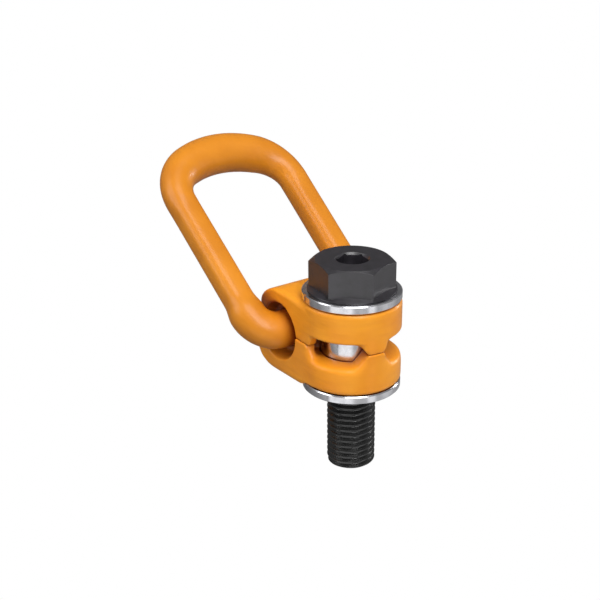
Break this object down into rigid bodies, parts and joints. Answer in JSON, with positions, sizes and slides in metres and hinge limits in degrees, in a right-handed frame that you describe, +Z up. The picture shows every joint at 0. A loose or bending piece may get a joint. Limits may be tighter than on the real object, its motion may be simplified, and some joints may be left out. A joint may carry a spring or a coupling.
{
  "type": "swivel hoist ring",
  "caption": "Bolt-on lifting point: a split forged body swivels on a sleeve under a hexagon bolt head and holds a tilting forged link for a sling hook.",
  "frame": {"origin": "on the bolt axis in the seat plane, the underside of the lower collar", "axes": "+Z up the bolt towards its head, +Y from the bolt towards the jaw that holds the link, +X along the link bar"},
  "size_m": [0.0866, 0.1514, 0.1437],
  "materials": {
    "orange_enamel": "glossy powder coat over forged steel",
    "black_oxide_steel": "black oxide, satin",
    "zinc_plated_steel": "turned and zinc plated",
    "spring_steel": "oiled spring steel"
  },
  "bodies": {
    "seat": {"sleeve": "zinc_plated_steel", "upper_collar": "zinc_plated_steel", "lower_collar": "zinc_plated_steel"},
    "bolt": {"hex_bolt": "black_oxide_steel", "bolt_retaining_ring": "spring_steel"},
    "swivel": {"upper_body": "orange_enamel", "lower_body": "orange_enamel", "link_brake_spring": "spring_steel"},
    "link": {"load_link": "orange_enamel"}
  },
  "joints": [
    {"name": "bolt_turn", "type": "hinge", "parent": "seat", "child": "bolt", "pos_m": [0, 0, 0], "axis": [0, 0, 1], "continuous": true},
    {"name": "body_swivel", "type": "hinge", "parent": "seat", "child": "swivel", "pos_m": [0, 0, 0], "axis": [0, 0, 1], "continuous": true},
    {"name": "link_tilt", "type": "hinge", "parent": "swivel", "child": "link", "pos_m": [0, 0.029, 0.024], "axis": [1, 0, 0], "range_deg": [-44, 150]}
  ]
}
